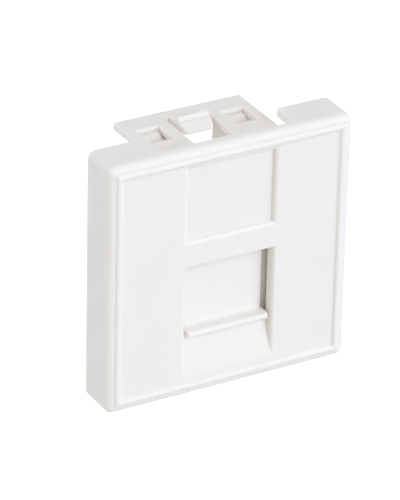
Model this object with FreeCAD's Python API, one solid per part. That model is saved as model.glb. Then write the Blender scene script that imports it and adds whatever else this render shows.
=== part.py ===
import FreeCAD, Part
import math
import os

# Keystone insert plate: a square snap-in face that carries one network jack behind a sliding dust shutter.
# Millimetres. +X is right seen from the front, +Y runs back into the wall box, +Z is up.
# The origin is the plate's centre, in the plane of the rim's back edge, which seats on the support frame.

# Plate and rim
plate_width = 45.0
plate_height = 45.0
rim_depth = 7.5
rim_wall = 1.45
rim_corner_radius = 1.4
rim_edge_radius = 1.25

# Face: a panel inside a raised bead, which falls to the panel in a cove
face_wall = 2.0
panel_sink = 0.1
bead_margin = 1.28
bead_flank = 0.22
bead_crest = 0.78
bead_height = 0.38
bead_crest_radius = 0.6
bead_foot_radius = 0.25
cove_width = 0.4
cove_rise = 0.06
cove_radius = 3.2

# Label recess above the bar
label_width = 16.2
label_height = 13.2
label_depth = 0.9
label_edge_radius = 0.6
label_floor_radius = 0.25
bar_height = 4.85

# Plug opening, with a finger ramp below it
opening_width = 16.4
opening_height = 13.15
opening_top = 1.15
opening_edge_radius = 0.6
ramp_height = 6.8
ramp_depth = 2.0
ramp_foot_radius = 2.5
ramp_backing_height = 5.0

# Dust shutter
shutter_plate_wall = 0.8
shutter_panel_rise = 1.0
shutter_panel_gap = 0.6
shutter_panel_edge_radius = 0.5
shutter_skin = 0.9
shutter_flange = 1.7
shutter_top_overlap = 1.45
lip_height = 1.0
lip_end_gap = 0.65
lip_edge_radius = 0.4
lip_end_radius = 0.5
lip_cove_radius = 0.8
nib_width = 0.5
nib_depth = 0.3
nib_height = 0.14
nib_offset = 0.7
lip_lift_gap = 0.13
shutter_stop_gap = 0.12

# Guide rails behind the face
shoulder_inset = 0.7
shoulder_depth = 1.4
slide_clearance = 0.12
rail_side_clearance = 0.15
rail_width = 1.15
rail_spare_length = 0.6
rail_foot_length = 3.0
ridge_width = 1.2

# Latch tabs, above and below
tab_width = 23.9
tab_length = 16.95
tab_wall = 1.18
tab_drop = 2.22
tab_corner_radius = 0.6
tab_edge_radius = 0.5
tab_opening_radius = 0.3
notch_side_gap = 0.2
notch_corner_radius = 0.4

# Latch tongue in the middle of each tab
cutout_width = 7.2
cutout_front = 4.35
tongue_width = 5.6
tongue_root_setback = 2.75
tongue_tip_height = 0.4
tongue_corner_radius = 1.2
latch_foot_setback = 1.1
latch_foot_run = 1.8
latch_crest = 0.3
latch_rise = 1.32
latch_face_run = 0.26
latch_face_drop = 0.8
latch_ledge = 0.55
latch_nose_run = 0.57
latch_nose_drop = 0.6
latch_chin_run = 0.5
latch_chin_radius = 0.8
latch_edge_radius = 0.3

# Hook windows beside the tongue
window_width = 4.0
window_length = 4.8
window_setback = 4.8
window_spacing = 15.7

# Jack carrier
carrier_wall = 1.4
carrier_locating_gap = 0.1
carrier_tab_gap = 0.35
jack_width = 14.8
jack_height = 16.4
jack_drop = 0.275
port_depth = 8.45
port_wall = 1.3
port_side_wall = 1.6
port_corner_radius = 1.0
port_edge_radius = 0.4
lug_pocket = 1.7
lug_slot_front = 6.5
lug_slot_length = 1.5
latch_pocket = 3.5
latch_slot_front = 4.0
latch_slot_length = 4.0
latch_catch_height = 1.8
catch_wall = 1.4

# Snap arms of the carrier
arm_inner = 3.9
arm_length = 9.86
arm_wall = 1.3
arm_web = 1.2
arm_root_depth = 8.0
arm_tip_depth = 4.0
arm_corner_radius = 0.8
hook_width = 3.2
hook_height = 0.8
hook_crest = 1.1
hook_catch_gap = 0.05

# Levels across the depth
face_y = -rim_depth
panel_y = face_y + panel_sink
wall_back_y = panel_y + face_wall
shoulder_y = wall_back_y + shoulder_depth
shutter_front_y = shoulder_y + slide_clearance
shutter_panel_y = shutter_front_y - shutter_panel_rise
shutter_back_y = shutter_front_y + shutter_plate_wall
carrier_front_y = shutter_back_y + slide_clearance
carrier_back_y = carrier_front_y + carrier_wall
port_back_y = carrier_back_y + port_depth

# Levels up the face
opening_bottom = opening_top - opening_height
label_bottom = opening_top + bar_height
label_top = label_bottom + label_height
ramp_bottom = opening_bottom - ramp_height
shutter_bottom = opening_bottom + shutter_stop_gap
shutter_top = opening_top + shutter_top_overlap
lip_top = shutter_bottom + lip_height
shutter_travel = opening_height - shutter_stop_gap - lip_height - lip_lift_gap
rail_top = shutter_top + shutter_travel + rail_spare_length
rail_bottom = opening_bottom - rail_foot_length

# Half widths
half_width = plate_width / 2
half_height = plate_height / 2
opening_half = opening_width / 2
shutter_panel_half = opening_half - shutter_panel_gap
shutter_half = shutter_panel_half + shutter_flange
rail_inner = shutter_half + rail_side_clearance
rail_outer = rail_inner + rail_width
carrier_half = rail_outer - carrier_locating_gap
port_half = jack_width / 2 + port_side_wall

# Distance of the bead's inner foot from the plate's edge
bead_inner = bead_margin + 2 * bead_flank + bead_crest

# Latch tab levels and places
tab_top = half_height - tab_drop
tab_low = tab_top - tab_wall
tab_back_y = wall_back_y + tab_length
notch_half = tab_width / 2 + notch_side_gap
tongue_root_y = tab_back_y - tongue_root_setback
latch_foot_y = tongue_root_y - latch_foot_setback
latch_crest_y = latch_foot_y - latch_foot_run - latch_crest
latch_nose_y = latch_crest_y - latch_face_run - latch_ledge - latch_nose_run
tongue_tip_y = latch_nose_y - latch_chin_run
window_back_y = tab_back_y - window_setback
carrier_top = tab_low - carrier_tab_gap

# Jack window
jack_centre_z = (opening_top + opening_bottom) / 2 - jack_drop
jack_low = jack_centre_z - jack_height / 2
jack_high = jack_centre_z + jack_height / 2

# Spare length by which a cut passes its surface, and a fused piece enters its carrier
spare = 0.5
front_y = face_y - bead_height - spare

# Distance within which two levels count as one, and cosine above which two directions do
same_level = 1e-6
same_direction = 0.999

# Largest part of a wall that the rounding of one edge takes, and that each of two opposite edges takes
one_edge_share = 0.9
two_edge_share = 0.45


def block(x_low, x_high, y_low, y_high, z_low, z_high):
    """A box between two corners."""
    corner = FreeCAD.Vector(x_low, y_low, z_low)
    return Part.makeBox(x_high - x_low, y_high - y_low, z_high - z_low, corner)


def centred_block(half, y_low, y_high, z_low, z_high):
    """A box that is symmetric about the plate's middle."""
    return block(-half, half, y_low, y_high, z_low, z_high)


def rounded_wire(corners, place):
    """A closed wire through (u, v) or (u, v, radius) corners, where place(u, v) is the point in space.

    A corner is rounded by its radius, or by as much of it as its two sides have room for.
    """
    points = [place(*corner[:2]) for corner in corners]
    count = len(points)
    sides = [points[(i + 1) % count] - points[i] for i in range(count)]
    half_angles = [sides[i].getAngle(-sides[i - 1]) / 2 for i in range(count)]
    wanted = [sum(corners[i][2:]) / math.tan(half_angles[i]) for i in range(count)]
    needed = [wanted[i] + wanted[(i + 1) % count] for i in range(count)]
    share = [sides[i].Length / max(sides[i].Length, needed[i]) for i in range(count)]
    reach = [wanted[i] * min(share[i - 1], share[i]) for i in range(count)]
    ahead = [FreeCAD.Vector(side).normalize() for side in sides]
    starts = [points[i] - ahead[i - 1] * reach[i] for i in range(count)]
    ends = [points[i] + ahead[i] * reach[i] for i in range(count)]
    edges = []
    for i in range(count):
        if reach[i] > same_level:
            inwards = (ahead[i] - ahead[i - 1]).normalize()
            depth = reach[i] * (1 / math.cos(half_angles[i]) - math.tan(half_angles[i]))
            edges.append(Part.Arc(starts[i], points[i] + inwards * depth, ends[i]).toShape())
        next_start = starts[(i + 1) % count]
        if (next_start - ends[i]).Length > same_level:
            edges.append(Part.LineSegment(ends[i], next_start).toShape())
    return Part.Wire(edges)


def side_profile(corners, x_low, x_high):
    """A closed outline of (y, z) corners, drawn out from x_low to x_high."""
    wire = rounded_wire(corners, lambda y, z: FreeCAD.Vector(x_low, y, z))
    return Part.Face(wire).extrude(FreeCAD.Vector(x_high - x_low, 0, 0))


def plan_profile(corners, z_low, z_high):
    """A closed outline of (x, y) corners, drawn out from z_low to z_high."""
    wire = rounded_wire(corners, lambda x, y: FreeCAD.Vector(x, y, z_low))
    return Part.Face(wire).extrude(FreeCAD.Vector(0, 0, z_high - z_low))


def mirrored_plan(right_corners, z_low, z_high):
    """A plan_profile that is symmetric about the plate's middle, from the corners of its right half."""
    left_corners = [(-corner[0],) + corner[1:] for corner in reversed(right_corners)]
    return plan_profile(right_corners + left_corners, z_low, z_high)


def with_mirror(shape, normal):
    """A shape and its mirror image through the origin, as a list."""
    return [shape, shape.mirror(FreeCAD.Vector(0, 0, 0), normal)]


def left_and_right(shape):
    return with_mirror(shape, FreeCAD.Vector(1, 0, 0))


def top_and_bottom(shape):
    return with_mirror(shape, FreeCAD.Vector(0, 0, 1))


def straight_edges(shape, direction, test):
    """Straight edges along a direction whose midpoint passes a test."""
    found = []
    for edge in shape.Edges:
        run = edge.Vertexes[-1].Point - edge.Vertexes[0].Point
        if run.Length > 0 and abs(run.normalize().dot(direction)) > same_direction:
            if test(edge.CenterOfMass):
                found.append(edge)
    return found


def edges_at_y(shape, y):
    """Edges that lie in the plane at y."""
    return [e for e in shape.Edges if all(abs(v.Y - y) < same_level for v in e.Vertexes)]


def edges_at_z(shape, z):
    """Edges that lie in the plane at z."""
    return [e for e in shape.Edges if all(abs(v.Z - z) < same_level for v in e.Vertexes)]


def opening_edges(shape, z):
    """Edges of the openings through the flat face at z: its wires inside the outer one."""
    found = []
    for face in shape.Faces:
        if abs(face.BoundBox.ZMin - z) < same_level and abs(face.BoundBox.ZMax - z) < same_level:
            for wire in face.Wires:
                if not wire.isSame(face.OuterWire):
                    found += wire.Edges
    return found


def joined(first, others):
    return first.fuse(others).removeSplitter()


def rim_and_face():
    """The plate's tray: a rounded face with a rim around it, open at the back."""
    tray = centred_block(half_width, face_y, 0, -half_height, half_height)
    along_depth = straight_edges(tray, FreeCAD.Vector(0, 1, 0), lambda middle: True)
    tray = tray.makeFillet(rim_corner_radius, along_depth)
    edge_radius = min(rim_edge_radius, one_edge_share * rim_corner_radius)
    tray = tray.makeFillet(edge_radius, edges_at_y(tray, face_y))
    hollow = centred_block(
        half_width - rim_wall, wall_back_y, spare, rim_wall - half_height, half_height - rim_wall
    )
    return tray.cut(hollow)


def bead():
    """The raised line that frames the face, with the cove by which it falls to the panel."""
    crest_y = face_y - bead_height
    cove_foot = bead_inner + cove_width
    section = [
        (bead_margin, panel_y + spare),
        (bead_margin, face_y),
        (bead_margin + bead_flank, crest_y, bead_crest_radius),
        (bead_inner - bead_flank, crest_y, bead_crest_radius),
        (bead_inner, panel_y - cove_rise, bead_foot_radius),
        (cove_foot, panel_y, cove_radius),
        (cove_foot + cove_width, panel_y),
        (cove_foot + cove_width, panel_y + spare),
    ]
    wire = rounded_wire(section, lambda inset, y: FreeCAD.Vector(0, y, half_height - inset))
    path_points = [
        FreeCAD.Vector(0, face_y, half_height),
        FreeCAD.Vector(half_width, face_y, half_height),
        FreeCAD.Vector(half_width, face_y, -half_height),
        FreeCAD.Vector(-half_width, face_y, -half_height),
        FreeCAD.Vector(-half_width, face_y, half_height),
    ]
    path = Part.makePolygon(path_points + path_points[:1])
    mitred = 1
    return path.makePipeShell([wire], True, False, mitred)


def panel_pocket():
    """The shallow sink of the panel inside the bead."""
    pocket_x = half_width - bead_inner
    pocket_z = half_height - bead_inner
    return centred_block(pocket_x, front_y, panel_y, -pocket_z, pocket_z)


def guide_rail():
    """The right-hand rail: a shoulder in front of the shutter, a side guide and a ridge round the carrier."""
    buried_y = wall_back_y - spare
    shoulder_inner = opening_half + shoulder_inset
    shoulder = block(shoulder_inner, rail_outer, buried_y, shoulder_y, rail_bottom, rail_top)
    guide = block(rail_inner, rail_outer, buried_y, carrier_front_y, rail_bottom, rail_top)
    ridge = block(rail_outer, rail_outer + ridge_width, buried_y, carrier_back_y, rail_bottom, rail_top)
    return joined(shoulder, [guide, ridge])


def ramp_backing():
    """The wedge behind the finger ramp, whose top is the shutter's stop."""
    outline = [
        (wall_back_y - spare, opening_bottom - ramp_backing_height),
        (wall_back_y, opening_bottom - ramp_backing_height),
        (shutter_front_y, opening_bottom),
        (wall_back_y - spare, opening_bottom),
    ]
    return side_profile(outline, -rail_inner, rail_inner)


def label_recess():
    """The recess for a label, rounded at the panel and at its floor."""
    half = label_width / 2
    flare = label_edge_radius
    floor_y = panel_y + label_depth
    right_corners = [
        (half + flare, front_y),
        (half + flare, panel_y),
        (half, panel_y, label_edge_radius),
        (half, floor_y, label_floor_radius),
    ]
    side_corners = [
        (front_y, label_top + flare),
        (panel_y, label_top + flare),
        (panel_y, label_top, label_edge_radius),
        (floor_y, label_top, label_floor_radius),
        (floor_y, label_bottom, label_floor_radius),
        (panel_y, label_bottom, label_edge_radius),
        (panel_y, label_bottom - flare),
        (front_y, label_bottom - flare),
    ]
    across = mirrored_plan(right_corners, label_bottom - flare, label_top + flare)
    return across.common(side_profile(side_corners, -half - flare, half + flare))


def plug_opening():
    """The opening for the plug and the finger ramp below it, rounded where they meet the panel."""
    flare = opening_edge_radius
    behind_y = shoulder_y + spare
    right_corners = [
        (opening_half + flare, front_y),
        (opening_half + flare, panel_y),
        (opening_half, panel_y, opening_edge_radius),
        (opening_half, behind_y),
    ]
    side_corners = [
        (front_y, opening_top + flare),
        (panel_y, opening_top + flare),
        (panel_y, opening_top, opening_edge_radius),
        (behind_y, opening_top),
        (behind_y, opening_bottom),
        (panel_y + ramp_depth, opening_bottom),
        (panel_y, ramp_bottom, ramp_foot_radius),
        (panel_y, ramp_bottom - flare),
        (front_y, ramp_bottom - flare),
    ]
    across = mirrored_plan(right_corners, ramp_bottom - flare, opening_top + flare)
    return across.common(side_profile(side_corners, -opening_half - flare, opening_half + flare))


def latch_tongue():
    """A tongue rooted at its back end, with a stepped wedge that grips the support frame."""
    crest_z = tab_top + latch_rise
    crest_back_y = latch_crest_y + latch_crest
    step_y = latch_crest_y - latch_face_run
    step_z = crest_z - latch_face_drop
    root_y = tongue_root_y + spare
    side_corners = [
        (root_y, tab_low),
        (root_y, tab_top),
        (latch_foot_y, tab_top),
        (crest_back_y, crest_z, latch_edge_radius),
        (latch_crest_y, crest_z, latch_edge_radius),
        (step_y, step_z, latch_edge_radius),
        (step_y - latch_ledge, step_z, latch_edge_radius),
        (latch_nose_y, step_z - latch_nose_drop, latch_edge_radius),
        (tongue_tip_y, tab_low + tongue_tip_height, latch_chin_radius),
        (tongue_tip_y, tab_low),
    ]
    half = tongue_width / 2
    right_corners = [(half, root_y), (half, tongue_tip_y, tongue_corner_radius)]
    return side_profile(side_corners, -half, half).common(mirrored_plan(right_corners, tab_low, crest_z))


def latch_tab():
    """The upper tab with its tongue and the two windows for the carrier's hooks."""
    slab = centred_block(tab_width / 2, wall_back_y - spare, tab_back_y, tab_low, tab_top)
    corners = straight_edges(slab, FreeCAD.Vector(0, 0, 1), lambda middle: middle.y > 0)
    slab = slab.makeFillet(tab_corner_radius, corners)
    edge_radius = min(tab_edge_radius, one_edge_share * tab_corner_radius)
    slab = slab.makeFillet(edge_radius, [e for e in edges_at_z(slab, tab_top) if e.CenterOfMass.y > wall_back_y])
    below = tab_low - spare
    above = tab_top + spare
    cutout = centred_block(cutout_width / 2, wall_back_y + cutout_front, tongue_root_y, below, above)
    window = block(
        (window_spacing - window_width) / 2, (window_spacing + window_width) / 2,
        window_back_y - window_length, window_back_y, below, above,
    )
    slab = slab.cut([cutout] + left_and_right(window))
    slab = slab.makeFillet(tab_opening_radius, opening_edges(slab, tab_top))
    return joined(slab, [latch_tongue()])


def rim_notch():
    """The gap in the rim's top that gives the tab room to bend."""
    return centred_block(notch_half, wall_back_y, spare, tab_top, half_height + spare)


def front_plate():
    plate = rim_and_face().cut(top_and_bottom(rim_notch()))
    notch_corners = straight_edges(
        plate, FreeCAD.Vector(0, 0, 1),
        lambda middle: abs(abs(middle.x) - notch_half) < same_level and abs(middle.y) < same_level,
    )
    plate = plate.makeFillet(notch_corner_radius, notch_corners)
    plate = joined(plate.cut(panel_pocket()), [bead()])
    plate = joined(plate, left_and_right(guide_rail()) + [ramp_backing()] + top_and_bottom(latch_tab()))
    return plate.cut([label_recess(), plug_opening()])


def finger_lip():
    """The shutter's rounded lip, with the small nib that the mould's gate leaves under it."""
    lip_half = opening_half - lip_end_gap
    edge_radius = min(lip_edge_radius, two_edge_share * lip_height)
    side_corners = [
        (shutter_front_y, shutter_bottom),
        (panel_y, shutter_bottom, edge_radius),
        (panel_y, lip_top, edge_radius),
        (shutter_front_y, lip_top),
    ]
    lip = mirrored_plan(
        [(lip_half, shutter_front_y), (lip_half, panel_y, lip_end_radius)], shutter_bottom, lip_top
    )
    lip = lip.common(side_profile(side_corners, -lip_half, lip_half))
    nib_front_y = panel_y + lip_edge_radius
    nib = block(
        -nib_offset - nib_width / 2, -nib_offset + nib_width / 2, nib_front_y, nib_front_y + nib_depth,
        shutter_bottom - nib_height, shutter_bottom + lip_height / 2,
    )
    return joined(lip, [nib])


def lip_cove():
    """The hollow curve by which the shutter's panel runs into the top of its lip."""
    buried_y = shutter_panel_y + shutter_skin / 2
    side_corners = [
        (shutter_panel_y - lip_cove_radius, lip_top),
        (shutter_panel_y, lip_top, lip_cove_radius),
        (shutter_panel_y, lip_top + lip_cove_radius),
        (buried_y, lip_top + lip_cove_radius),
        (buried_y, lip_top - lip_height / 2),
        (shutter_panel_y - lip_cove_radius, lip_top - lip_height / 2),
    ]
    half = shutter_panel_half - shutter_panel_edge_radius
    return side_profile(side_corners, -half, half)


def dust_shutter():
    """A plate that runs in the rails, with a raised panel, hollow behind, and a finger lip."""
    plate = centred_block(shutter_half, shutter_front_y, shutter_back_y, shutter_bottom, shutter_top)
    edge_radius = min(shutter_panel_edge_radius, one_edge_share * shutter_panel_rise)
    right_corners = [(shutter_panel_half, shutter_back_y), (shutter_panel_half, shutter_panel_y, edge_radius)]
    panel = mirrored_plan(right_corners, shutter_bottom, shutter_top)
    hollow = centred_block(
        shutter_panel_half - shutter_skin, shutter_panel_y + shutter_skin, shutter_back_y + spare,
        shutter_bottom + shutter_skin, shutter_top - shutter_skin,
    )
    return joined(plate, [panel, finger_lip(), lip_cove()]).cut(hollow)


def jack_cavity():
    """The space that a network jack fills, with its lug slot below and its latch slot above."""
    jack_half = jack_width / 2
    behind_y = port_back_y + spare
    face = centred_block(jack_half, carrier_front_y - spare, behind_y, jack_low, jack_high)
    lug_room = centred_block(jack_half, carrier_back_y, behind_y, jack_low - lug_pocket, jack_low)
    latch_room = centred_block(jack_half, carrier_back_y, behind_y, jack_high, jack_high + latch_pocket)
    return [face, lug_room, latch_room]


def jack_catches():
    """Ribs across the port, in front of and behind the jack's lug and latch."""
    half = jack_width / 2 + spare
    lug_front_y = carrier_front_y + lug_slot_front
    lug_back_y = lug_front_y + lug_slot_length
    latch_front_y = carrier_front_y + latch_slot_front
    latch_back_y = latch_front_y + latch_slot_length
    lug_floor = jack_low - lug_pocket - spare
    latch_ceiling = jack_high + latch_pocket + spare
    latch_catch_low = jack_high + latch_pocket - latch_catch_height
    return [
        centred_block(half, lug_front_y - catch_wall, lug_front_y, lug_floor, jack_low),
        centred_block(half, lug_back_y, lug_back_y + catch_wall, lug_floor, jack_low),
        centred_block(half, latch_front_y - catch_wall, latch_front_y, jack_high, latch_ceiling),
        centred_block(half, latch_back_y, latch_back_y + catch_wall, latch_catch_low, latch_ceiling),
    ]


def snap_arm():
    """The upper right arm: a shelf on two tapered webs, with a hook that catches in the tab's window."""
    arm_back_y = carrier_front_y + arm_length
    root_y = carrier_back_y - spare
    shelf = block(arm_inner, carrier_half, root_y, arm_back_y, carrier_top - arm_wall, carrier_top)
    web_outline = [
        (root_y, carrier_top),
        (arm_back_y, carrier_top),
        (arm_back_y, carrier_top - arm_tip_depth),
        (root_y, carrier_top - arm_root_depth),
    ]
    inner_web = side_profile(web_outline, arm_inner, arm_inner + arm_web)
    outer_web = side_profile(web_outline, port_half, carrier_half)
    hook_back_y = window_back_y - hook_catch_gap
    hook_crest_y = hook_back_y - hook_crest
    hook_outline = [
        (hook_back_y, carrier_top - spare),
        (hook_back_y, carrier_top + hook_height),
        (hook_crest_y, carrier_top + hook_height),
        (hook_crest_y - hook_height - spare, carrier_top - spare),
    ]
    hook = side_profile(hook_outline, (window_spacing - hook_width) / 2, (window_spacing + hook_width) / 2)
    arm_plan = [
        (arm_inner, root_y),
        (carrier_half, root_y),
        (carrier_half, arm_back_y, arm_corner_radius),
        (arm_inner, arm_back_y, arm_corner_radius),
    ]
    arm = joined(shelf, [inner_web, outer_web])
    return joined(arm.common(plan_profile(arm_plan, carrier_top - arm_root_depth, carrier_top)), [hook])


def jack_carrier():
    """The holder that snaps in behind the face: it takes the jack and keeps the shutter in its rails."""
    flange = centred_block(carrier_half, carrier_front_y, carrier_back_y, -carrier_top, carrier_top)
    port_low = jack_low - lug_pocket - port_wall
    port_high = jack_high + latch_pocket + port_wall
    port = centred_block(port_half, carrier_back_y - spare, port_back_y, port_low, port_high)
    along_depth = straight_edges(port, FreeCAD.Vector(0, 1, 0), lambda middle: True)
    port = port.makeFillet(port_corner_radius, along_depth)
    edge_radius = min(port_edge_radius, one_edge_share * port_corner_radius, two_edge_share * port_wall)
    port = port.makeFillet(edge_radius, edges_at_y(port, port_back_y))
    arms = []
    for arm in left_and_right(snap_arm()):
        arms += top_and_bottom(arm)
    carrier = joined(flange, [port] + arms).cut(jack_cavity())
    return joined(carrier, jack_catches())


os.makedirs("parts", exist_ok=True)
for name, piece in (
    ("front_plate", front_plate()),
    ("dust_shutter", dust_shutter()),
    ("jack_carrier", jack_carrier()),
):
    piece.exportStep(f"parts/{name}.step")
    box = piece.BoundBox
    print(name, len(piece.Solids), piece.isValid(), round(piece.Volume, 2), box)
print("shutter travel", round(shutter_travel, 3))
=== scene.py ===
import math

import bpy
from mathutils import Matrix, Vector


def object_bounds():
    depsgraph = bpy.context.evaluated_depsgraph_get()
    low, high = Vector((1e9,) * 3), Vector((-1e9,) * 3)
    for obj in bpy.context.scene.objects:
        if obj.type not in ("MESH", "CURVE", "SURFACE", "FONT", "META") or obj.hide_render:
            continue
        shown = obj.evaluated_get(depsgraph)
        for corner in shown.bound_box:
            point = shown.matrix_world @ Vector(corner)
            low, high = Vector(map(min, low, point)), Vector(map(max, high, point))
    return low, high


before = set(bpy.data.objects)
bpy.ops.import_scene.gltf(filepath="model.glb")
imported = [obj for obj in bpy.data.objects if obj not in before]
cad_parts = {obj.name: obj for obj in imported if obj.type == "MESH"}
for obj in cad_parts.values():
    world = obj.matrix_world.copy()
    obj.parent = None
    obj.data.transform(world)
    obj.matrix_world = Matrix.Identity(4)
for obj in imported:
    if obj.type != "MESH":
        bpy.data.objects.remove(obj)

# Keystone insert plate: three white mouldings under soft studio light.
# Lengths are in metres and angles in degrees, in the part's own frame.
# Azimuth 0 is straight in front of the part, and it grows to the right.

cad_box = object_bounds()
millimetre = 0.001
white = (1.0, 1.0, 1.0, 1.0)

# Camera
camera_place = Vector((-280.96, -486.10, 299.03)) * millimetre
camera_azimuth = -29.897
camera_elevation = 28.101
camera_roll = 1.370
camera_lens = 279.36

# Floor
floor_size = 6.0
floor_colour = (0.8, 0.8, 0.8, 1.0)
floor_roughness = 0.9
floor_glow = 1.0

# Light tent all round the part
tent_strength = 0.622
tent_colour = (1.03, 1.0, 0.985, 1.0)

# Softboxes: name, azimuth and elevation seen from the part, power in watts, colour.
# The back one stands low, so that it lights the back and not the tops.
softbox_distance = 2.0
softbox_size = 1.4
softboxes = (
    ("front_box", 10.0, 35.0, 6.6, (0.89, 1.0, 1.14)),
    ("right_front_box", 30.0, 18.0, 14.0, (0.85, 1.0, 1.27)),
    ("left_box", -110.0, 18.0, 8.2, (0.83, 1.0, 1.26)),
    ("back_box", 160.0, -15.0, 12.0, (0.85, 1.0, 1.27)),
)

# How far light spreads inside the white plastic, the same for red, green and blue
light_reach = 0.4 * millimetre
reach_by_colour = (1.0, 1.0, 1.0)

# Patterns in the plastic: noise cells in a metre, and how many finer layers they have
cloud_scale = 90.0
cloud_detail = 3.0
gloss_scale = 700.0
gloss_detail = 4.0
grain_scale = 6000.0
grain_detail = 2.0
grain_strength = 0.12
grain_depth = 0.01 * millimetre

# Plastic of each node: name, palest and deepest colour, least and greatest roughness
plastics = {
    "front_plate": (
        "satin_white_plate", (0.925, 0.89, 0.835, 1.0), (0.905, 0.87, 0.815, 1.0), 0.48, 0.58,
    ),
    "dust_shutter": (
        "satin_white_shutter", (0.93, 0.896, 0.841, 1.0), (0.91, 0.876, 0.821, 1.0), 0.48, 0.58,
    ),
    "jack_carrier": (
        "matt_white_carrier", (0.915, 0.88, 0.825, 1.0), (0.895, 0.86, 0.805, 1.0), 0.52, 0.64,
    ),
}


def direction(azimuth, elevation):
    """Unit vector from the part outwards."""
    turn = math.radians(azimuth)
    rise = math.radians(elevation)
    flat = math.cos(rise)
    return Vector((math.sin(turn) * flat, -math.cos(turn) * flat, math.sin(rise)))


def facing_in(outwards):
    """Rotation of a camera or lamp that looks back along a direction."""
    return (-outwards).to_track_quat("-Z", "Y")


def add_camera():
    """The camera at the photograph's viewing angle."""
    camera = bpy.data.objects.new("camera", bpy.data.cameras.new("camera"))
    bpy.context.scene.collection.objects.link(camera)
    camera.data.lens = camera_lens
    aim = facing_in(direction(camera_azimuth, camera_elevation)).to_matrix().to_4x4()
    roll = Matrix.Rotation(math.radians(camera_roll), 4, "Z")
    camera.matrix_world = Matrix.Translation(camera_place) @ aim @ roll
    bpy.context.scene.camera = camera


def add_tent():
    """Even light from all round, as inside a light tent."""
    world = bpy.data.worlds.new("light_tent")
    world.use_nodes = True
    tent = world.node_tree.nodes["Background"]
    tent.inputs["Color"].default_value = tent_colour
    tent.inputs["Strength"].default_value = tent_strength
    bpy.context.scene.world = world


def add_softbox(name, azimuth, elevation, power, colour):
    """A square area light that faces the part's centre."""
    light = bpy.data.lights.new(name, "AREA")
    light.shape = "SQUARE"
    light.size = softbox_size
    light.energy = power
    light.color = colour
    lamp = bpy.data.objects.new(name, light)
    bpy.context.scene.collection.objects.link(lamp)
    outwards = direction(azimuth, elevation)
    lamp.location = outwards * softbox_distance
    lamp.rotation_euler = facing_in(outwards).to_euler()
    lamp.visible_camera = False


def add_floor():
    """A plain pale floor under the part's lowest point; the lights shine through it."""
    half = floor_size / 2
    level = cad_box[0].z
    square = ((-half, -half), (half, -half), (half, half), (-half, half))
    mesh = bpy.data.meshes.new("floor")
    mesh.from_pydata([(x, y, level) for x, y in square], [], [(0, 1, 2, 3)])
    floor = bpy.data.objects.new("floor", mesh)
    bpy.context.scene.collection.objects.link(floor)
    material = bpy.data.materials.new("pale_floor")
    material.use_nodes = True
    shader = material.node_tree.nodes["Principled BSDF"]
    shader.inputs["Base Color"].default_value = floor_colour
    shader.inputs["Roughness"].default_value = floor_roughness
    shader.inputs["Emission Color"].default_value = white
    shader.inputs["Emission Strength"].default_value = floor_glow
    floor.data.materials.append(material)
    floor.visible_diffuse = False
    floor.visible_glossy = False
    floor.visible_transmission = False
    floor.visible_shadow = False


def pattern(tree, place, scale, detail):
    """A noise texture that stays with the piece; returns its grey value."""
    noise = tree.nodes.new("ShaderNodeTexNoise")
    noise.inputs["Scale"].default_value = scale
    noise.inputs["Detail"].default_value = detail
    tree.links.new(place, noise.inputs["Vector"])
    return noise.outputs["Fac"]


def moulded_plastic(name, pale, deep, smooth, rough):
    """White plastic: faint cloudiness in the colour, uneven gloss and a very fine grain."""
    material = bpy.data.materials.new(name)
    material.use_nodes = True
    tree = material.node_tree
    shader = tree.nodes["Principled BSDF"]
    shader.inputs["Subsurface Weight"].default_value = 1.0
    shader.inputs["Subsurface Radius"].default_value = reach_by_colour
    shader.inputs["Subsurface Scale"].default_value = light_reach
    place = tree.nodes.new("ShaderNodeTexCoord").outputs["Object"]

    cloud = pattern(tree, place, cloud_scale, cloud_detail)
    tint = tree.nodes.new("ShaderNodeMix")
    tint.data_type = "RGBA"
    tint.inputs["A"].default_value = deep
    tint.inputs["B"].default_value = pale
    tree.links.new(cloud, tint.inputs["Factor"])
    tree.links.new(tint.outputs["Result"], shader.inputs["Base Color"])

    gloss = pattern(tree, place, gloss_scale, gloss_detail)
    spread = tree.nodes.new("ShaderNodeMapRange")
    spread.inputs["To Min"].default_value = smooth
    spread.inputs["To Max"].default_value = rough
    tree.links.new(gloss, spread.inputs["Value"])
    tree.links.new(spread.outputs["Result"], shader.inputs["Roughness"])

    grain = pattern(tree, place, grain_scale, grain_detail)
    bump = tree.nodes.new("ShaderNodeBump")
    bump.inputs["Strength"].default_value = grain_strength
    bump.inputs["Distance"].default_value = grain_depth
    tree.links.new(grain, bump.inputs["Height"])
    tree.links.new(bump.outputs["Normal"], shader.inputs["Normal"])
    return material


def dress(node, material):
    """Put a plastic on a CAD solid."""
    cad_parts[node].material_slots[0].material = material


bpy.context.scene.view_settings.view_transform = "Standard"
add_camera()
add_tent()
add_floor()
for softbox in softboxes:
    add_softbox(*softbox)
for node, plastic in plastics.items():
    dress(node, moulded_plastic(*plastic))
